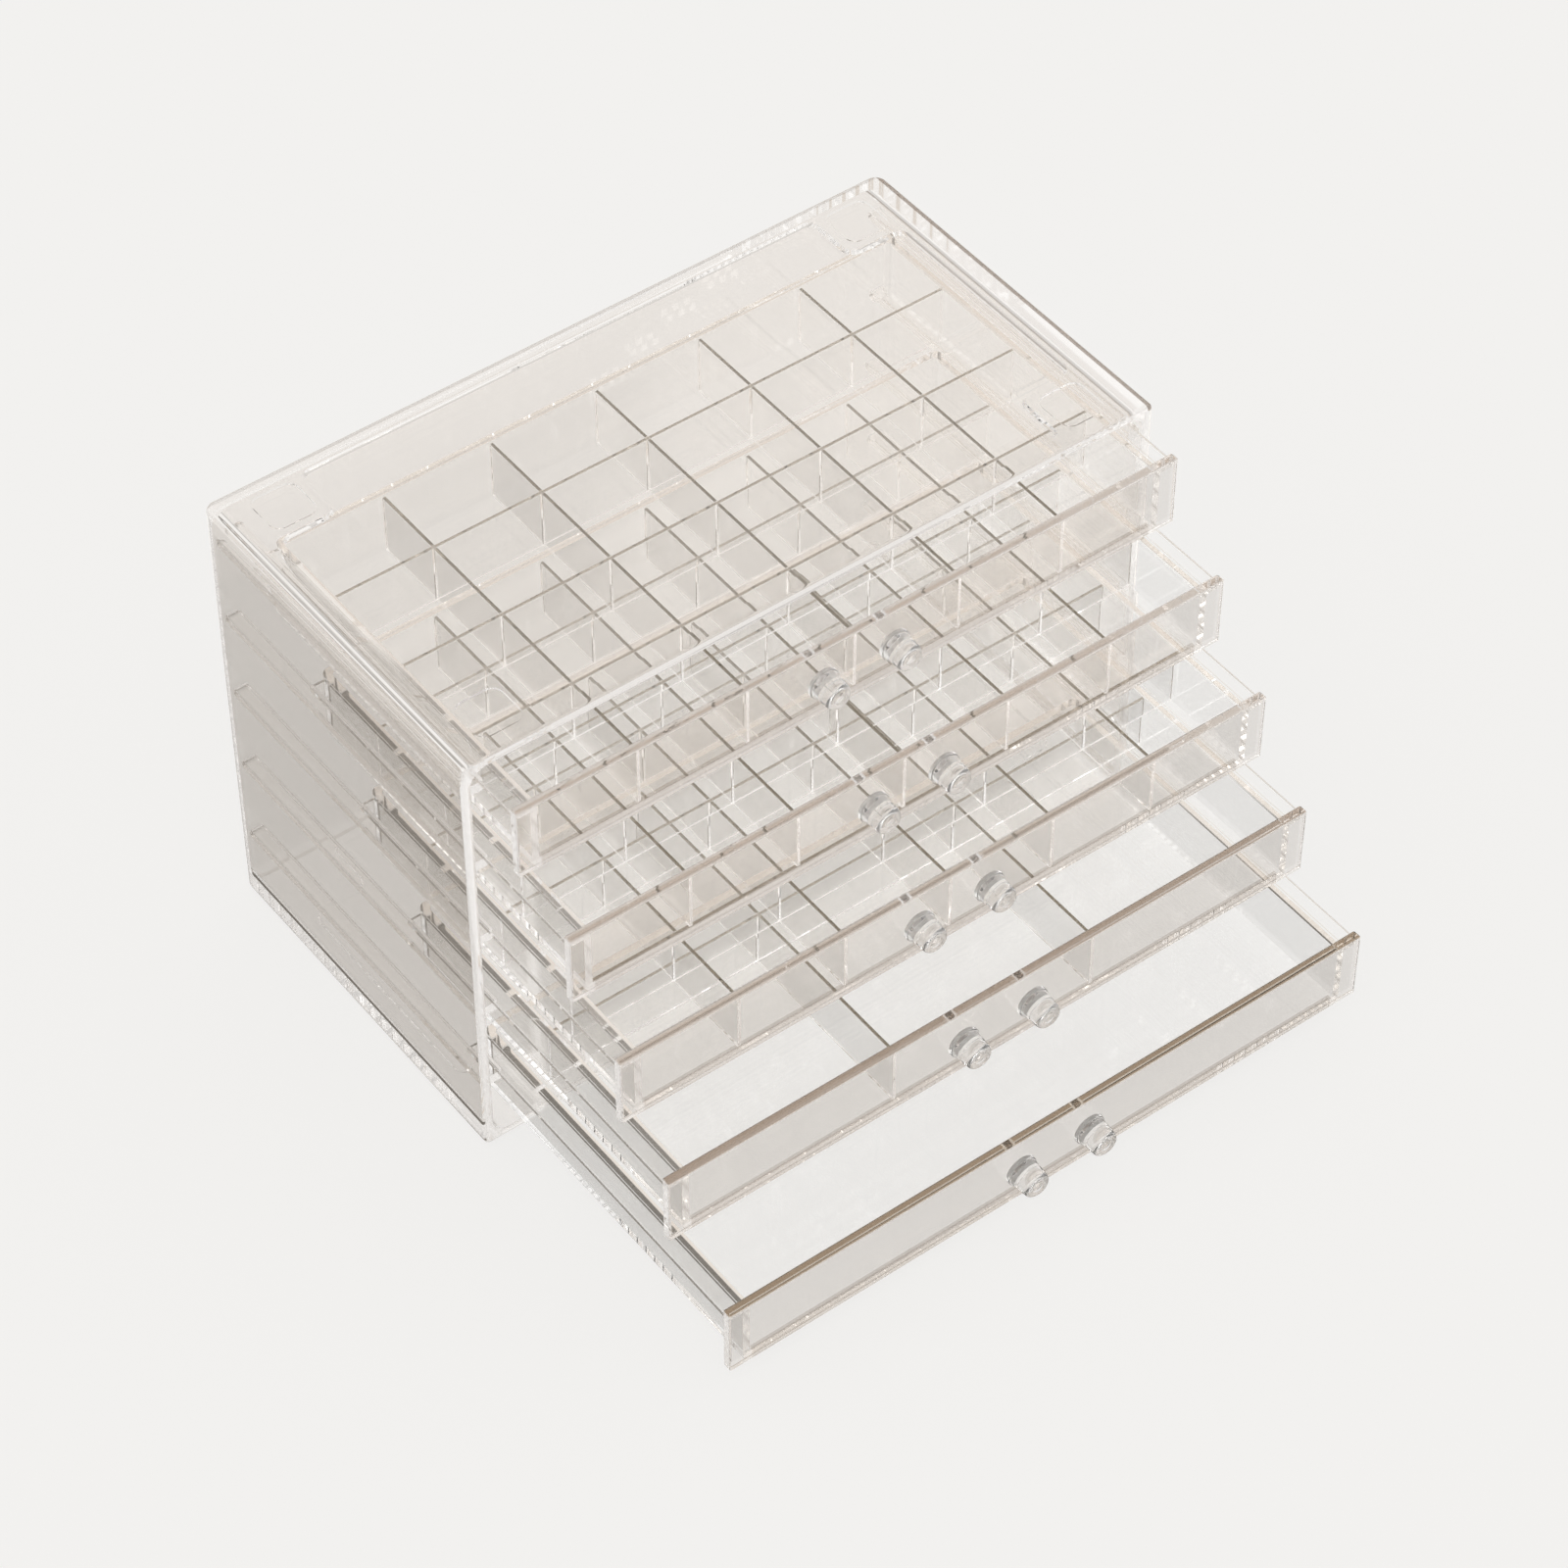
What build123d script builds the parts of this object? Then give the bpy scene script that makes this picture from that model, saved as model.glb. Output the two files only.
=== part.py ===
from build123d import *
import os

os.makedirs("parts", exist_ok=True)

# Casing, open at the front, with the origin under the middle of the raised base it stands on
casing_width = 270.0
casing_depth = 144.8
casing_height = 177.1
casing_wall = 3.7
casing_edge_radius = 1.8
casing_rim_radius = 1.6
casing_corner_radius = 4.5
cavity_corner_radius = 6.0

# Raised base, and the shallow recess in the top that takes the base of another box
base_height = 1.2
recess_depth = 1.3
relief_taper_degrees = 35.0
relief_side_margin = 11.3
relief_end_margin = 6.2
relief_notch_size = 21.5
relief_corner_radius = 4.0
relief_clearance = 0.6
pocket_size = 17.0
pocket_corner_radius = 4.0
pocket_depth = 0.8
pocket_edge_gap = 1.2

# Drawer fronts
drawer_count = 5
front_top_gap = 1.9
front_bottom_gap = 3.8
front_side_gap = 2.2
front_spacing = 6.0
front_thickness = 3.6
front_edge_radius = 0.7
front_gap = 0.4

# Trays, and how far each one is pulled out as a share of its travel
tray_hold = 12.5
drawer_opening_shares = [0.1262, 0.3325, 0.5262, 0.7151, 0.9595]
tray_wall = 2.6
tray_floor = 2.6
tray_rim_drop = 1.5
tray_corner_radius = 3.0
tray_foot_radius = 1.0
rear_gap = 3.0
flange_drop = 2.2
flange_thickness = 2.0
flange_reach = 5.6
flange_inset = 0.5
flange_edge_radius = 0.5

# Runners that carry the flanges
runner_height = 4.0
runner_depth = 5.0
runner_edge_radius = 0.8
runner_end_gap = 2.0
runner_end_radius = 1.7
slide_clearance = 0.3
bond_line = 0.1

# Divider strips
strip_thickness = 1.2
strip_rim_drop = 1.0
strip_end_gap = 0.2
strip_slot_clearance = 0.15
strip_edge_radius = 0.25
fine_grid_count = 3
coarse_grid_count = 1
column_count = 5
column_pitch_share = 0.1723
row_count = 3
row_first_share = 0.239
row_pitch_share = 0.276
third_share = 1 / 3
half_share = 1 / 2

# Knobs
knob_spacing = 28.0
knob_collar_radius = 5.8
knob_collar_length = 1.4
knob_collar_round = 0.4
knob_body_radius = 5.3
knob_end_radius = 4.7
knob_length = 9.2
knob_end_round = 1.5
knob_dimple_radius = 2.2
knob_dimple_depth = 0.8
knob_peg_radius = 2.0
knob_peg_length = 2.0
knob_peg_clearance = 0.1

# Extra length of a cut past the face it starts from
overrun = 5.0

# Sizes that follow from the ones above
cavity_width = casing_width - 2 * casing_wall
cavity_height = casing_height - 2 * casing_wall
cavity_depth = casing_depth - casing_wall
casing_top = base_height + casing_height
casing_front = -casing_depth / 2
casing_back = casing_depth / 2
cavity_back = casing_back - casing_wall
fronts_height = cavity_height - front_top_gap - front_bottom_gap - (drawer_count - 1) * front_spacing
front_height = fronts_height / drawer_count
front_width = cavity_width - 2 * front_side_gap
first_front_top = casing_top - casing_wall - front_top_gap
drawer_pitch = front_height + front_spacing
tray_height = front_height - tray_rim_drop
tray_length = cavity_depth + front_gap - rear_gap
tray_travel = tray_length - tray_hold
flange_half = front_width / 2 - flange_inset
tray_width = 2 * (flange_half - flange_reach)
tray_inner_width = tray_width - 2 * tray_wall
tray_inner_length = tray_length - tray_wall
column_pitch = tray_inner_width * column_pitch_share
row_first = tray_inner_length * row_first_share
row_pitch = tray_inner_length * row_pitch_share
strip_height = tray_height - tray_floor - strip_rim_drop - bond_line
relief_width = casing_width - 2 * relief_side_margin
relief_length = casing_depth - 2 * relief_end_margin
pocket_x = relief_width / 2 - pocket_edge_gap - pocket_size / 2
pocket_y = relief_length / 2 - pocket_edge_gap - pocket_size / 2


def relief_outline(clearance):
    """Outline of the stacking relief, smaller all round by the clearance."""
    width = relief_width - 2 * clearance
    length = relief_length - 2 * clearance
    with BuildSketch() as outline:
        Rectangle(width, length)
        with GridLocations(width, length, 2, 2):
            Rectangle(2 * relief_notch_size, 2 * relief_notch_size, mode=Mode.SUBTRACT)
        fillet(outline.vertices(), relief_corner_radius)
    return outline.sketch


recess_sketch = relief_outline(0)
base_sketch = relief_outline(relief_clearance)

# Casing
with BuildPart() as casing:
    with BuildSketch(Plane.XY.offset(base_height)):
        Rectangle(casing_width, casing_depth)
    extrude(amount=casing_height)
    back_corners = casing.edges().filter_by(Axis.Z).group_by(Axis.Y)[-1]
    fillet(back_corners, casing_corner_radius)
    front_edges = casing.faces().sort_by(Axis.Y)[0].edges()
    level_edges = casing.faces().filter_by(Axis.Z).edges()
    fillet([edge for edge in level_edges if edge not in front_edges], casing_edge_radius)
    with BuildSketch(Plane.XZ.offset(-casing_front + overrun)):
        with Locations((0, base_height + casing_height / 2)):
            RectangleRounded(cavity_width, cavity_height, cavity_corner_radius)
    extrude(amount=-(cavity_depth + overrun), mode=Mode.SUBTRACT)
    rim = casing.faces().filter_by(Axis.Y).sort_by(Axis.Y)[:1]
    fillet(rim.edges(), casing_rim_radius)
    with BuildSketch(Plane.XY.offset(casing_top)):
        add(recess_sketch)
    extrude(amount=-recess_depth, taper=relief_taper_degrees, mode=Mode.SUBTRACT)
    with BuildSketch(Plane.XY.offset(base_height)):
        add(base_sketch)
    extrude(amount=-base_height, taper=relief_taper_degrees)
    with BuildSketch(Plane.XY.offset(casing_top)):
        with GridLocations(2 * pocket_x, 2 * pocket_y, 2, 2):
            RectangleRounded(pocket_size, pocket_size, pocket_corner_radius)
    extrude(amount=-pocket_depth, mode=Mode.SUBTRACT)
casing.part.label = "casing"
export_step(casing.part, "parts/casing.step")

for index in range(drawer_count):
    number = index + 1
    front_top = first_front_top - index * drawer_pitch
    front_bottom = front_top - front_height
    front_back = casing_front - front_gap - tray_travel * drawer_opening_shares[index]
    tray_start = front_back + bond_line
    tray_end = front_back + tray_length
    floor_top = front_bottom + tray_floor
    flange_bottom = front_top - flange_drop - flange_thickness
    runner_top = flange_bottom - slide_clearance

    # Runners bonded to the two side walls
    for side, sign in (("left", -1), ("right", 1)):
        runner_start = casing_front + casing_rim_radius
        runner_stop = cavity_back - runner_end_gap
        runner_middle = sign * (cavity_width / 2 - bond_line - runner_depth / 2)
        with BuildPart() as runner:
            with BuildSketch(Plane.XY.offset(runner_top - runner_height)):
                with Locations((runner_middle, (runner_start + runner_stop) / 2)):
                    Rectangle(runner_depth, runner_stop - runner_start)
            extrude(amount=runner_height)
            fillet(runner.edges().filter_by(Axis.X).group_by(Axis.Y)[-1], runner_end_radius)
            inner = runner.faces().sort_by(Axis.X)[0 if sign > 0 else -1]
            fillet(inner.edges(), runner_edge_radius)
        runner.part.label = f"runner_{side}_{number}"
        export_step(runner.part, f"parts/runner_{side}_{number}.step")

    # Tray with its two side flanges
    with BuildPart() as tray:
        with BuildSketch(Plane.XY.offset(front_bottom)):
            with Locations((0, (tray_start + tray_end) / 2)):
                Rectangle(tray_width, tray_end - tray_start)
        extrude(amount=tray_height)
        rear = tray.edges().filter_by(Axis.Z).group_by(Axis.Y)[-1]
        fillet(rear, tray_corner_radius)
        under = tray.faces().sort_by(Axis.Z)[0]
        start_line = under.edges().sort_by(Axis.Y)[0]
        fillet([edge for edge in under.edges() if edge != start_line], tray_foot_radius)
        with BuildSketch(Plane.XY.offset(floor_top)) as inside:
            with Locations((0, (tray_start - overrun + tray_end - tray_wall) / 2)):
                Rectangle(tray_inner_width, tray_end - tray_wall - tray_start + overrun)
            fillet(inside.vertices().group_by(Axis.Y)[-1], tray_corner_radius - tray_wall * half_share)
        extrude(amount=tray_height, mode=Mode.SUBTRACT)
        with BuildSketch(Plane.XY.offset(flange_bottom)):
            flange_start = tray_start
            flange_stop = tray_end - tray_corner_radius
            with Locations((0, (flange_start + flange_stop) / 2)):
                with GridLocations(2 * flange_half - flange_reach - tray_wall * half_share, 0, 2, 1):
                    Rectangle(flange_reach + tray_wall * half_share, flange_stop - flange_start)
        extrude(amount=flange_thickness)
        ends = [
            edge
            for edge in tray.edges().filter_by(Axis.Y)
            if abs(abs(edge.center().X) - flange_half) < flange_edge_radius
        ]
        fillet(ends, flange_edge_radius)
    tray.part.label = f"tray_{number}"
    export_step(tray.part, f"parts/tray_{number}.step")

    # Front plate with two blind sockets for the knob pegs
    knob_z = front_bottom + front_height / 2
    with BuildPart() as front:
        with BuildSketch(Plane.XZ.offset(-front_back)):
            with Locations((0, knob_z)):
                Rectangle(front_width, front_height)
        extrude(amount=front_thickness)
        fillet(front.edges(), front_edge_radius)
        with BuildSketch(Plane.XZ.offset(-front_back + front_thickness)):
            with Locations((0, knob_z)):
                with GridLocations(knob_spacing, 0, 2, 1):
                    Circle(knob_peg_radius + knob_peg_clearance)
        extrude(amount=-(knob_peg_length + knob_peg_clearance), mode=Mode.SUBTRACT)
    front.part.label = f"front_{number}"
    export_step(front.part, f"parts/front_{number}.step")

    # Turned knobs
    for side, sign in (("left", -1), ("right", 1)):
        seat = (sign * knob_spacing / 2, front_back - front_thickness - bond_line, knob_z)
        knob_plane = Plane(origin=seat, x_dir=(1, 0, 0), z_dir=(0, 0, -1))
        with BuildPart() as knob:
            with BuildSketch(knob_plane):
                with BuildLine():
                    Polyline(
                        (0, -knob_peg_length),
                        (knob_peg_radius, -knob_peg_length),
                        (knob_peg_radius, 0),
                        (knob_collar_radius, 0),
                        (knob_collar_radius, knob_collar_length),
                        (knob_body_radius, knob_collar_length),
                        (knob_end_radius, knob_length),
                        (knob_dimple_radius, knob_length),
                        (knob_dimple_radius, knob_length - knob_dimple_depth),
                        (0, knob_length - knob_dimple_depth),
                        close=True,
                    )
                make_face()
            revolve(axis=Axis(seat, (0, -1, 0)))
            rings = knob.edges().filter_by(GeomType.CIRCLE)
            collar = [
                ring
                for ring in rings
                if abs(ring.radius - knob_collar_radius) < bond_line
                and ring.center().Y < seat[1] - bond_line
            ]
            fillet(collar, knob_collar_round)
            end = [
                ring
                for ring in knob.edges().filter_by(GeomType.CIRCLE)
                if abs(ring.radius - knob_end_radius) < bond_line
                and ring.center().Y < seat[1] - knob_length + bond_line
            ]
            fillet(end, knob_end_round)
        knob.part.label = f"knob_{side}_{number}"
        export_step(knob.part, f"parts/knob_{side}_{number}.step")

    # Divider strips, halved into each other where they cross
    if number <= fine_grid_count:
        columns = [column_pitch * (place - (column_count - 1) / 2) for place in range(column_count)]
        rows = [row_first + row_pitch * place for place in range(row_count)]
    elif number <= fine_grid_count + coarse_grid_count:
        columns = [-tray_inner_width * third_share / 2, tray_inner_width * third_share / 2]
        rows = [row_first + row_pitch]
    else:
        columns = []
        rows = []
    strip_bottom = floor_top + bond_line
    slot_depth = strip_height * half_share + strip_slot_clearance
    slot_width = strip_thickness + 2 * strip_slot_clearance
    column_start = tray_start + strip_end_gap
    column_stop = tray_end - tray_wall - strip_end_gap
    row_length = tray_inner_width - 2 * strip_end_gap

    for place, column in enumerate(columns):
        with BuildPart() as long_strip:
            with BuildSketch(Plane.XY.offset(strip_bottom)):
                with Locations((column, (column_start + column_stop) / 2)):
                    Rectangle(strip_thickness, column_stop - column_start)
            extrude(amount=strip_height)
            crest = long_strip.faces().sort_by(Axis.Z)[-1]
            fillet(crest.edges().filter_by(Axis.Y), strip_edge_radius)
            with BuildSketch(Plane.XY.offset(strip_bottom + strip_height - slot_depth)):
                with Locations([(column, front_back + row) for row in rows]):
                    Rectangle(slot_width, slot_width)
            extrude(amount=slot_depth + overrun, mode=Mode.SUBTRACT)
        long_strip.part.label = f"divider_long_{number}_{place + 1}"
        export_step(long_strip.part, f"parts/divider_long_{number}_{place + 1}.step")

    for place, row in enumerate(rows):
        with BuildPart() as cross_strip:
            with BuildSketch(Plane.XY.offset(strip_bottom)):
                with Locations((0, front_back + row)):
                    Rectangle(row_length, strip_thickness)
            extrude(amount=strip_height)
            crest = cross_strip.faces().sort_by(Axis.Z)[-1]
            fillet(crest.edges().filter_by(Axis.X), strip_edge_radius)
            with BuildSketch(Plane.XY.offset(strip_bottom)):
                with Locations([(column, front_back + row) for column in columns]):
                    Rectangle(slot_width, slot_width)
            extrude(amount=slot_depth, mode=Mode.SUBTRACT)
        cross_strip.part.label = f"divider_cross_{number}_{place + 1}"
        export_step(cross_strip.part, f"parts/divider_cross_{number}_{place + 1}.step")
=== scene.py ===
import math
import bpy
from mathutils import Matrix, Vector


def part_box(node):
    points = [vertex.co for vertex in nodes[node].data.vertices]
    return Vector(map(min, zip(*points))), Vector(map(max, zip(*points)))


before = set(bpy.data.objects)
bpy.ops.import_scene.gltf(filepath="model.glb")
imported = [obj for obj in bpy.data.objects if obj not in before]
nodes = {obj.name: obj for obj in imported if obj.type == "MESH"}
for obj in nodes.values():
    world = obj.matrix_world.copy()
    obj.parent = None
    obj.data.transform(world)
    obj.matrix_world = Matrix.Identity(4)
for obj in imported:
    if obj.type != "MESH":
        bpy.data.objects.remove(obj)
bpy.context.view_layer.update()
casing_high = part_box("casing")[1]
scene = bpy.context.scene
scene.view_settings.view_transform = "Standard"

# Clear sheets lie many deep along one line of sight
clear_bounces = 160
scene.cycles.max_bounces = clear_bounces
scene.cycles.transmission_bounces = clear_bounces
scene.cycles.glossy_bounces = clear_bounces
scene.cycles.transparent_max_bounces = 16


def fill_ramp(ramp, stops):
    """Set a colour ramp's stops from pairs of position and colour."""
    while len(ramp.elements) < len(stops):
        ramp.elements.new(1.0)
    for element, (position, colour) in zip(ramp.elements, stops):
        element.position = position
        element.color = (*colour, 1.0)


def calculate(tree, operation, first, second):
    """A math node fed by one socket and by a second socket or a plain number."""
    node = tree.nodes.new("ShaderNodeMath")
    node.operation = operation
    tree.links.new(first, node.inputs[0])
    if isinstance(second, float):
        node.inputs[1].default_value = second
    else:
        tree.links.new(second, node.inputs[1])
    return node.outputs[0]


def coordinates(tree, kind):
    """The parts of a texture coordinate: place on the object, share of its box, or direction of its face."""
    place = tree.nodes.new("ShaderNodeTexCoord")
    split = tree.nodes.new("ShaderNodeSeparateXYZ")
    tree.links.new(place.outputs[kind], split.inputs[0])
    return split.outputs["X"], split.outputs["Y"], split.outputs["Z"]


# Gloss marks and waviness that all the acrylic shares
mark_scale = 180.0
knob_mark_scale = 300.0
mark_detail = 5.0
mark_start = 0.5
mark_full = 0.85
mark_roughness = 0.01
wave_strength = 0.02
sheet_wave = 0.0002
strip_wave = 0.0001
acrylic_index = 1.49


def clear_plastic(name, tint, marks_per_metre, waves_per_metre, wave_height):
    """Clear acrylic with a faint moulded waviness and fine handling marks in its gloss."""
    material = bpy.data.materials.new(name)
    material.use_nodes = True
    tree = material.node_tree
    shader = tree.nodes["Principled BSDF"]
    shader.inputs["Base Color"].default_value = (*tint, 1.0)
    shader.inputs["Transmission Weight"].default_value = 1.0
    shader.inputs["IOR"].default_value = acrylic_index
    place = tree.nodes.new("ShaderNodeTexCoord")
    marks = tree.nodes.new("ShaderNodeTexNoise")
    marks.inputs["Scale"].default_value = marks_per_metre
    marks.inputs["Detail"].default_value = mark_detail
    tree.links.new(place.outputs["Object"], marks.inputs["Vector"])
    gloss = tree.nodes.new("ShaderNodeMapRange")
    gloss.inputs["From Min"].default_value = mark_start
    gloss.inputs["From Max"].default_value = mark_full
    gloss.inputs["To Min"].default_value = 0.0
    gloss.inputs["To Max"].default_value = mark_roughness
    tree.links.new(marks.outputs["Fac"], gloss.inputs["Value"])
    tree.links.new(gloss.outputs["Result"], shader.inputs["Roughness"])
    wave = tree.nodes.new("ShaderNodeTexNoise")
    wave.inputs["Scale"].default_value = waves_per_metre
    wave.inputs["Detail"].default_value = 1.0
    tree.links.new(place.outputs["Object"], wave.inputs["Vector"])
    bump = tree.nodes.new("ShaderNodeBump")
    bump.inputs["Strength"].default_value = wave_strength
    bump.inputs["Distance"].default_value = wave_height
    tree.links.new(wave.outputs["Fac"], bump.inputs["Height"])
    tree.links.new(bump.outputs["Normal"], shader.inputs["Normal"])
    return material


def paint_crest_shade(material, plain, crest_shade):
    """Paint a darker band of shade on the faces that look up, along a sheet's upper edge."""
    plain_slope = 0.55
    crest_shade_slope = 0.80
    tree = material.node_tree
    upward = coordinates(tree, "Normal")[2]
    shade_tints = tree.nodes.new("ShaderNodeValToRGB")
    fill_ramp(shade_tints.color_ramp, [(plain_slope, plain), (crest_shade_slope, crest_shade)])
    tree.links.new(upward, shade_tints.inputs["Fac"])
    tree.links.new(shade_tints.outputs["Color"], tree.nodes["Principled BSDF"].inputs["Base Color"])


def lay_painted_shade(material, plain, shade_tints):
    """Give the surface a plain colour, with tints of painted shade laid over it where their masks are one.
    """
    tree = material.node_tree
    ground = tree.nodes.new("ShaderNodeRGB")
    ground.outputs[0].default_value = (*plain, 1.0)
    colour = ground.outputs[0]
    for mask, tint in shade_tints:
        layer = tree.nodes.new("ShaderNodeMixRGB")
        layer.inputs[2].default_value = (*tint, 1.0)
        tree.links.new(mask, layer.inputs[0])
        tree.links.new(colour, layer.inputs[1])
        colour = layer.outputs[0]
    tree.links.new(colour, tree.nodes["Principled BSDF"].inputs["Base Color"])


def paint_casing_shade(material, plain, right_edge_shade, rear_edge_shade, foot_shade):
    """Paint darker shade on the top edges along the right and the back, and on the walls' lower edges.

    Light piped down the walls comes out at those lower edges.
    """
    rounding = 0.0018
    band = 0.0024
    wall = 0.0037
    foot_height = 0.0022
    right, rear, top = casing_high
    tree = material.node_tree
    x, y, z = coordinates(tree, "Object")
    high = calculate(tree, "GREATER_THAN", z, top - rounding)
    at_right = calculate(tree, "GREATER_THAN", x, right - band)
    at_rear = calculate(tree, "GREATER_THAN", y, rear - band)
    right_shade_mask = calculate(tree, "MULTIPLY", high, at_right)
    rear_shade_mask = calculate(tree, "MULTIPLY", high, at_rear)
    from_middle = calculate(tree, "ABSOLUTE", x, 0.0)
    in_side = calculate(tree, "GREATER_THAN", from_middle, right - wall)
    in_rear = calculate(tree, "GREATER_THAN", y, rear - wall)
    in_wall = calculate(tree, "MAXIMUM", in_side, in_rear)
    low = calculate(tree, "LESS_THAN", z, foot_height)
    foot_shade_mask = calculate(tree, "MULTIPLY", low, in_wall)
    lay_painted_shade(material, plain, [(rear_shade_mask, rear_edge_shade), (right_shade_mask, right_edge_shade), (foot_shade_mask, foot_shade)])


def paint_tray_end_shade(material, plain, end_shade):
    """Paint shade on the front end of a tray's floor, between its two sides, where light piped along it
    comes out.
    """
    front_share = 0.01
    side_share = 0.035
    tree = material.node_tree
    x, y, z = coordinates(tree, "Generated")
    at_front = calculate(tree, "LESS_THAN", y, front_share)
    past_left = calculate(tree, "GREATER_THAN", x, side_share)
    before_right = calculate(tree, "LESS_THAN", x, 1.0 - side_share)
    between = calculate(tree, "MULTIPLY", past_left, before_right)
    end_shade_mask = calculate(tree, "MULTIPLY", at_front, between)
    lay_painted_shade(material, plain, [(end_shade_mask, end_shade)])


# One finish for each kind of piece, named as the nodes are
casing_tint = (0.957, 0.938, 0.920)
# Painted shade: darker colours on the casing's right and rear top edges and on its walls' lower edges
casing_right_shade = (0.20, 0.155, 0.125)
casing_rear_shade = (0.62, 0.59, 0.56)
casing_foot_shade = (0.74, 0.70, 0.66)
front_tint = (0.968, 0.946, 0.926)
# Painted shade: darker bands along the upper edges of the fronts, darkest on the two lowest
front_crest_shade = (0.72, 0.69, 0.67)
fourth_crest_shade = (0.45, 0.38, 0.325)
lowest_crest_shade = (0.36, 0.28, 0.20)
strip_tint = (0.990, 0.987, 0.983)
# Painted shade: darker bands along the strips' upper edges
long_strip_crest_shade = (0.26, 0.235, 0.19)
cross_strip_crest_shade = (0.46, 0.425, 0.37)
runner_tint = (0.985, 0.977, 0.968)
tray_tint = (0.993, 0.991, 0.987)
# Painted shade at the front end of each tray's floor
tray_end_shade = (0.62, 0.58, 0.54)
knob_tint = (0.995, 0.990, 0.984)
knob_clearness = 0.90
finishes = {
    "casing": clear_plastic("casing_acrylic", casing_tint, mark_scale, 9.0, sheet_wave),
    "runner": clear_plastic("runner_acrylic", runner_tint, mark_scale, 20.0, strip_wave),
    "tray": clear_plastic("tray_acrylic", tray_tint, mark_scale, 12.0, sheet_wave),
    "front_4": clear_plastic("fourth_front_acrylic", front_tint, mark_scale, 10.0, sheet_wave),
    "front_5": clear_plastic("lowest_front_acrylic", front_tint, mark_scale, 10.0, sheet_wave),
    "front": clear_plastic("front_acrylic", front_tint, mark_scale, 10.0, sheet_wave),
    "knob": clear_plastic("knob_acrylic", knob_tint, knob_mark_scale, 60.0, strip_wave),
    "divider_long": clear_plastic("long_strip_acrylic", strip_tint, mark_scale, 25.0, strip_wave),
    "divider_cross": clear_plastic("cross_strip_acrylic", strip_tint, mark_scale, 25.0, strip_wave),
}
# Painted shade on the casing's top and lower edges
paint_casing_shade(finishes["casing"], casing_tint, casing_right_shade, casing_rear_shade, casing_foot_shade)
# Painted shade at the trays' front ends
paint_tray_end_shade(finishes["tray"], tray_tint, tray_end_shade)
# Painted shade along the upper edges of the fronts and strips
paint_crest_shade(finishes["front"], front_tint, front_crest_shade)
paint_crest_shade(finishes["front_4"], front_tint, fourth_crest_shade)
paint_crest_shade(finishes["front_5"], front_tint, lowest_crest_shade)
paint_crest_shade(finishes["divider_long"], strip_tint, long_strip_crest_shade)
paint_crest_shade(finishes["divider_cross"], strip_tint, cross_strip_crest_shade)
knob_shader = finishes["knob"].node_tree.nodes["Principled BSDF"]
knob_shader.inputs["Transmission Weight"].default_value = knob_clearness
for name, piece in nodes.items():
    piece.data.materials.clear()
    kind = next(word for word in finishes if name.startswith(word))
    piece.data.materials.append(finishes[kind])

# Camera at the photograph's viewing angle
azimuth = math.radians(-37.04)
elevation = math.radians(46.92)
camera_place = (-0.6705, -0.9424, 1.2610)
focal_length = 114.05
sensor_width = 36.0
back = Vector((
    math.sin(azimuth) * math.cos(elevation),
    -math.cos(azimuth) * math.cos(elevation),
    math.sin(elevation),
))
lens = bpy.data.cameras.new("camera")
lens.sensor_width = sensor_width
lens.lens = focal_length
lens.clip_end = 60.0
camera = bpy.data.objects.new("camera", lens)
camera.location = camera_place
camera.rotation_euler = (-back).to_track_quat("-Z", "Y").to_euler()
scene.collection.objects.link(camera)
scene.camera = camera

# Pale studio: straight views through the acrylic meet the pale backdrop colour, mirrored ones the room
pale = (0.888, 0.879, 0.863, 1.0)
pale_matt = (0.77, 0.76, 0.745, 1.0)
glow_share = 0.92
floor_once = (0.17, 0.155, 0.135)
floor_far = (0.95, 0.94, 0.92)
floor_often = (0.80, 0.735, 0.665)
floor_piped = (1.0, 0.995, 0.985)
left_start = 0.24
left_full = 0.30
right_start = 0.05
right_full = 0.09
sky_plain = (1.1, 1.1, 1.1)
sky_once = (0.90, 0.885, 0.865)
sky_often = (0.92, 0.91, 0.90)
side_shade = 0.5
full_rise = 0.45

# How often light counts as mirrored, as shares of the ramps' length
depth_scale = 32.0
once = 0.5 / depth_scale
often = 2.5 / depth_scale
piped = 10.5 / depth_scale


def by_depth(tree, stops):
    """Colour chosen by how many times the light has been mirrored on its way."""
    path = tree.nodes.new("ShaderNodeLightPath")
    share = calculate(tree, "DIVIDE", path.outputs["Glossy Depth"], depth_scale)
    depths = tree.nodes.new("ShaderNodeValToRGB")
    depths.color_ramp.interpolation = "CONSTANT"
    fill_ramp(depths.color_ramp, stops)
    tree.links.new(share, depths.inputs["Fac"])
    return depths.outputs["Color"]


def mirrored(tree):
    """One for light that has been mirrored on its way, zero for a straight view."""
    path = tree.nodes.new("ShaderNodeLightPath")
    return calculate(tree, "GREATER_THAN", path.outputs["Glossy Depth"], 0.5)


def reach(tree, place, direction, start, full):
    """Zero up to a start along a direction on the floor, rising to one."""
    along = tree.nodes.new("ShaderNodeVectorMath")
    along.operation = "DOT_PRODUCT"
    along.inputs[1].default_value = direction
    tree.links.new(place, along.inputs[0])
    share = tree.nodes.new("ShaderNodeMapRange")
    share.inputs["From Min"].default_value = start
    share.inputs["From Max"].default_value = full
    tree.links.new(along.outputs["Value"], share.inputs["Value"])
    return share.outputs["Result"]


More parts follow.
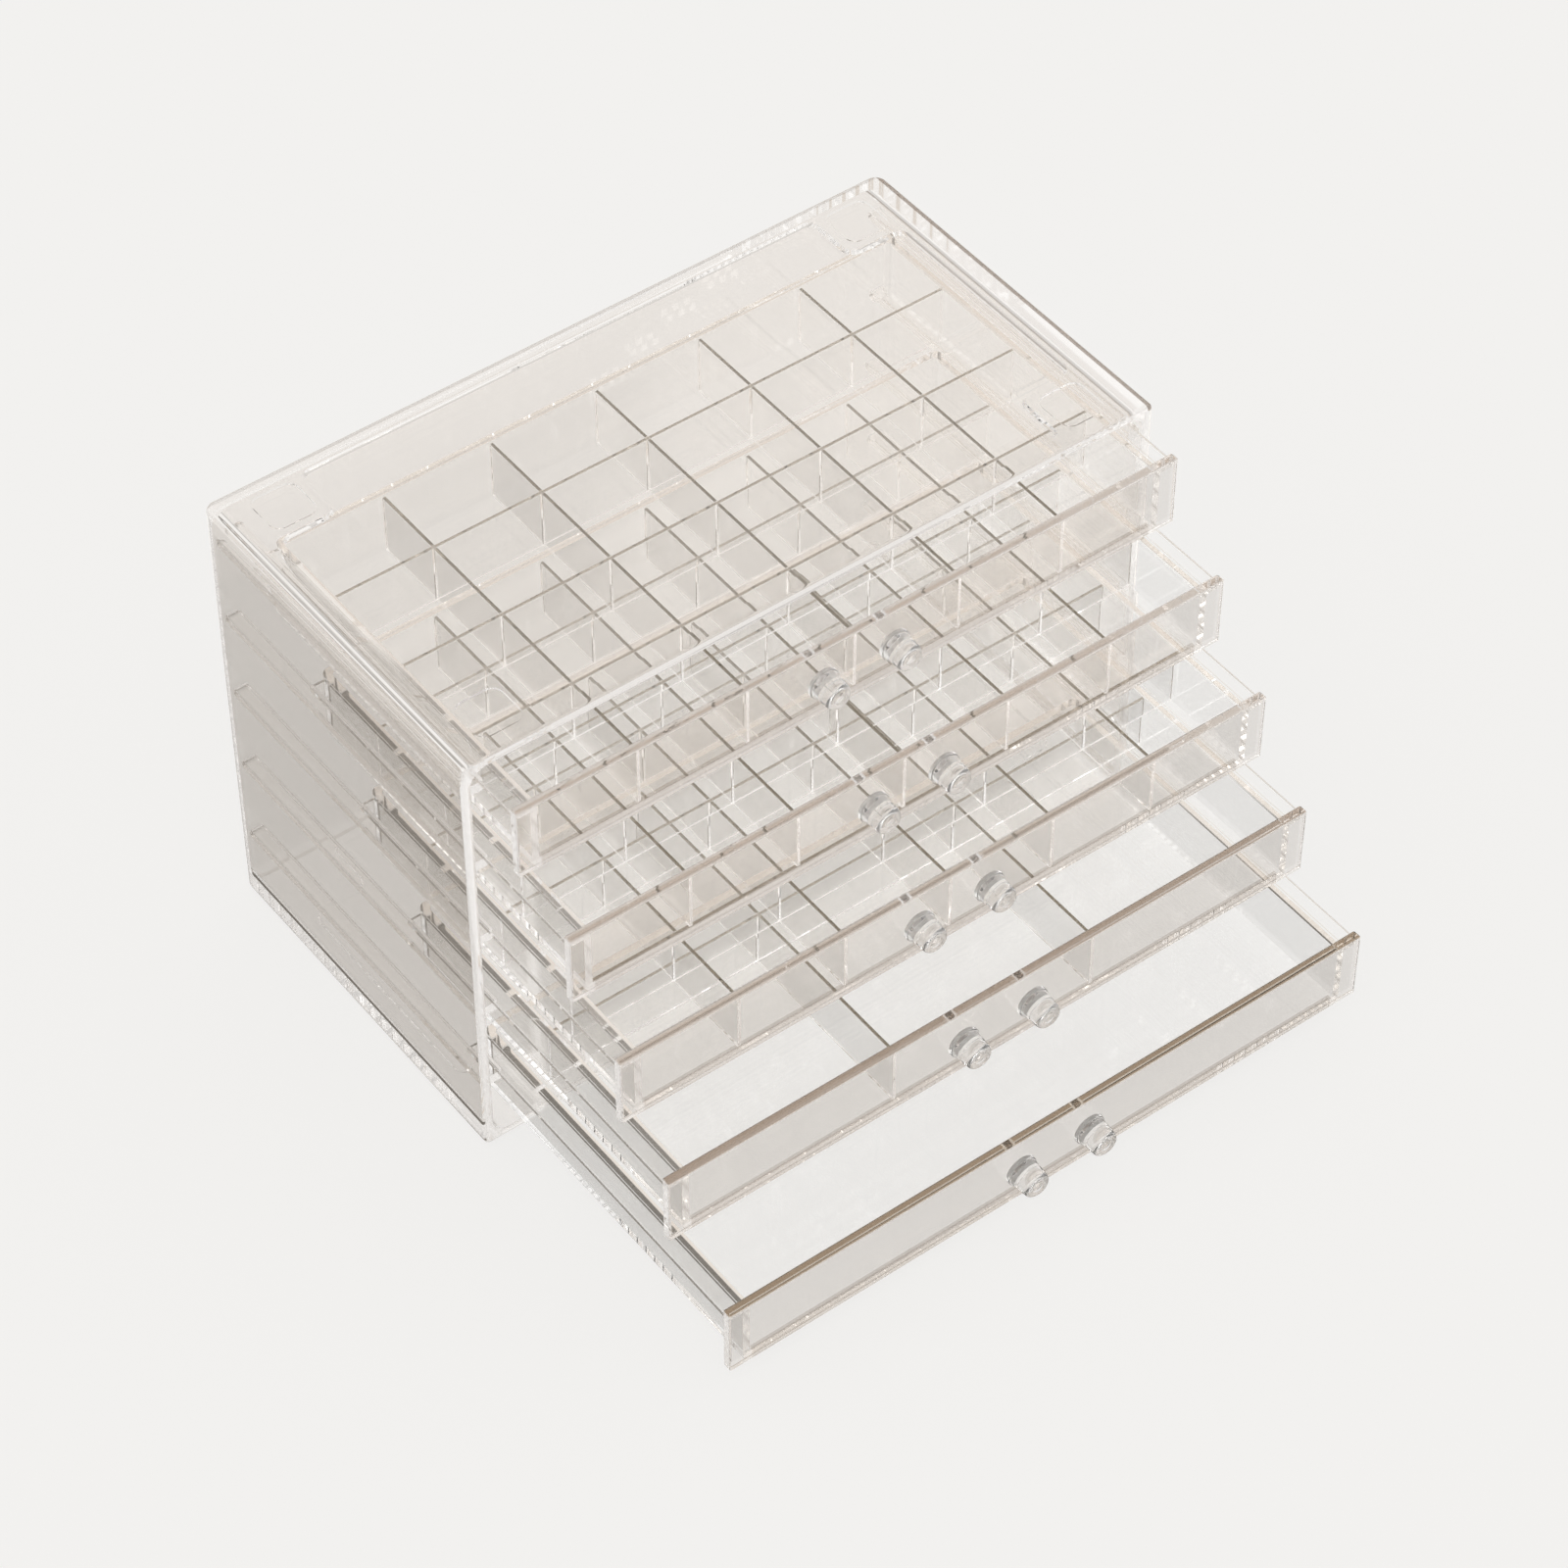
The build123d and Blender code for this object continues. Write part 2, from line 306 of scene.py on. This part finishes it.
# Floor that keeps a faint shadow; light mirrored once finds it bright far to the left and to the right rear
bpy.ops.mesh.primitive_plane_add(size=40.0, location=(0.0, 0.0, -0.0002))
floor = bpy.context.object
floor.name = "floor"
floor_paint = bpy.data.materials.new("floor_paint")
floor_paint.use_nodes = True
tree = floor_paint.node_tree
tree.nodes.clear()
output = tree.nodes.new("ShaderNodeOutputMaterial")
glow = tree.nodes.new("ShaderNodeEmission")
glow.inputs["Color"].default_value = pale
glow.inputs["Strength"].default_value = 1.0
matt = tree.nodes.new("ShaderNodeBsdfDiffuse")
matt.inputs["Color"].default_value = pale_matt
lit = tree.nodes.new("ShaderNodeMixShader")
lit.inputs[0].default_value = glow_share
tree.links.new(matt.outputs[0], lit.inputs[1])
tree.links.new(glow.outputs[0], lit.inputs[2])
near_colour = by_depth(tree, [(0.0, floor_once), (often, floor_often), (piped, floor_piped)])
far_colour = by_depth(tree, [(0.0, floor_far), (often, floor_often), (piped, floor_piped)])
spot = tree.nodes.new("ShaderNodeTexCoord").outputs["Object"]
far_left = reach(tree, spot, (-1.0, 0.0, 0.0), left_start, left_full)
right_rear = reach(tree, spot, (1.0, 1.0, 0.0), right_start, right_full)
room_colour = tree.nodes.new("ShaderNodeMixRGB")
tree.links.new(calculate(tree, "MAXIMUM", far_left, right_rear), room_colour.inputs[0])
tree.links.new(near_colour, room_colour.inputs[1])
tree.links.new(far_colour, room_colour.inputs[2])
room = tree.nodes.new("ShaderNodeEmission")
tree.links.new(room_colour.outputs[0], room.inputs["Color"])
choice = tree.nodes.new("ShaderNodeMixShader")
tree.links.new(mirrored(tree), choice.inputs[0])
tree.links.new(lit.outputs[0], choice.inputs[1])
tree.links.new(room.outputs[0], choice.inputs[2])
tree.links.new(choice.outputs[0], output.inputs["Surface"])
floor.data.materials.append(floor_paint)

# World, bright above and darker towards the horizon
world = bpy.data.worlds.new("studio")
scene.world = world
world.use_nodes = True
tree = world.node_tree
tree.nodes.clear()
output = tree.nodes.new("ShaderNodeOutputWorld")
plain = tree.nodes.new("ShaderNodeBackground")
plain.inputs["Color"].default_value = pale
room = tree.nodes.new("ShaderNodeBackground")
rise = tree.nodes.new("ShaderNodeMapRange")
rise.inputs["From Min"].default_value = 0.0
rise.inputs["From Max"].default_value = full_rise
rise.inputs["To Min"].default_value = side_shade
rise.inputs["To Max"].default_value = 1.0
tree.links.new(coordinates(tree, "Generated")[2], rise.inputs["Value"])
tree.links.new(rise.outputs["Result"], room.inputs["Strength"])
sky_colour = by_depth(tree, [(0.0, sky_plain), (once, sky_once), (often, sky_often)])
tree.links.new(sky_colour, room.inputs["Color"])
path = tree.nodes.new("ShaderNodeLightPath")
seen = calculate(tree, "MAXIMUM", path.outputs["Is Camera Ray"], path.outputs["Is Transmission Ray"])
straight = tree.nodes.new("ShaderNodeMath")
straight.operation = "SUBTRACT"
straight.use_clamp = True
tree.links.new(seen, straight.inputs[0])
tree.links.new(mirrored(tree), straight.inputs[1])
mix = tree.nodes.new("ShaderNodeMixShader")
tree.links.new(straight.outputs[0], mix.inputs[0])
tree.links.new(room.outputs[0], mix.inputs[1])
tree.links.new(plain.outputs[0], mix.inputs[2])
tree.links.new(mix.outputs[0], output.inputs["Surface"])

# One large soft lamp above the front left
lamp_side = 1.5
lamp_power = 12.0
lamp_aim = Vector((0.0, 0.0, 0.1))
lamp_data = bpy.data.lights.new("key_light", "AREA")
lamp_data.shape = "RECTANGLE"
lamp_data.size = lamp_side
lamp_data.size_y = lamp_side
lamp_data.energy = lamp_power
lamp = bpy.data.objects.new("key_light", lamp_data)
lamp.location = (-0.9, -1.0, 2.2)
lamp.rotation_euler = (lamp_aim - lamp.location).to_track_quat("-Z", "Y").to_euler()
scene.collection.objects.link(lamp)
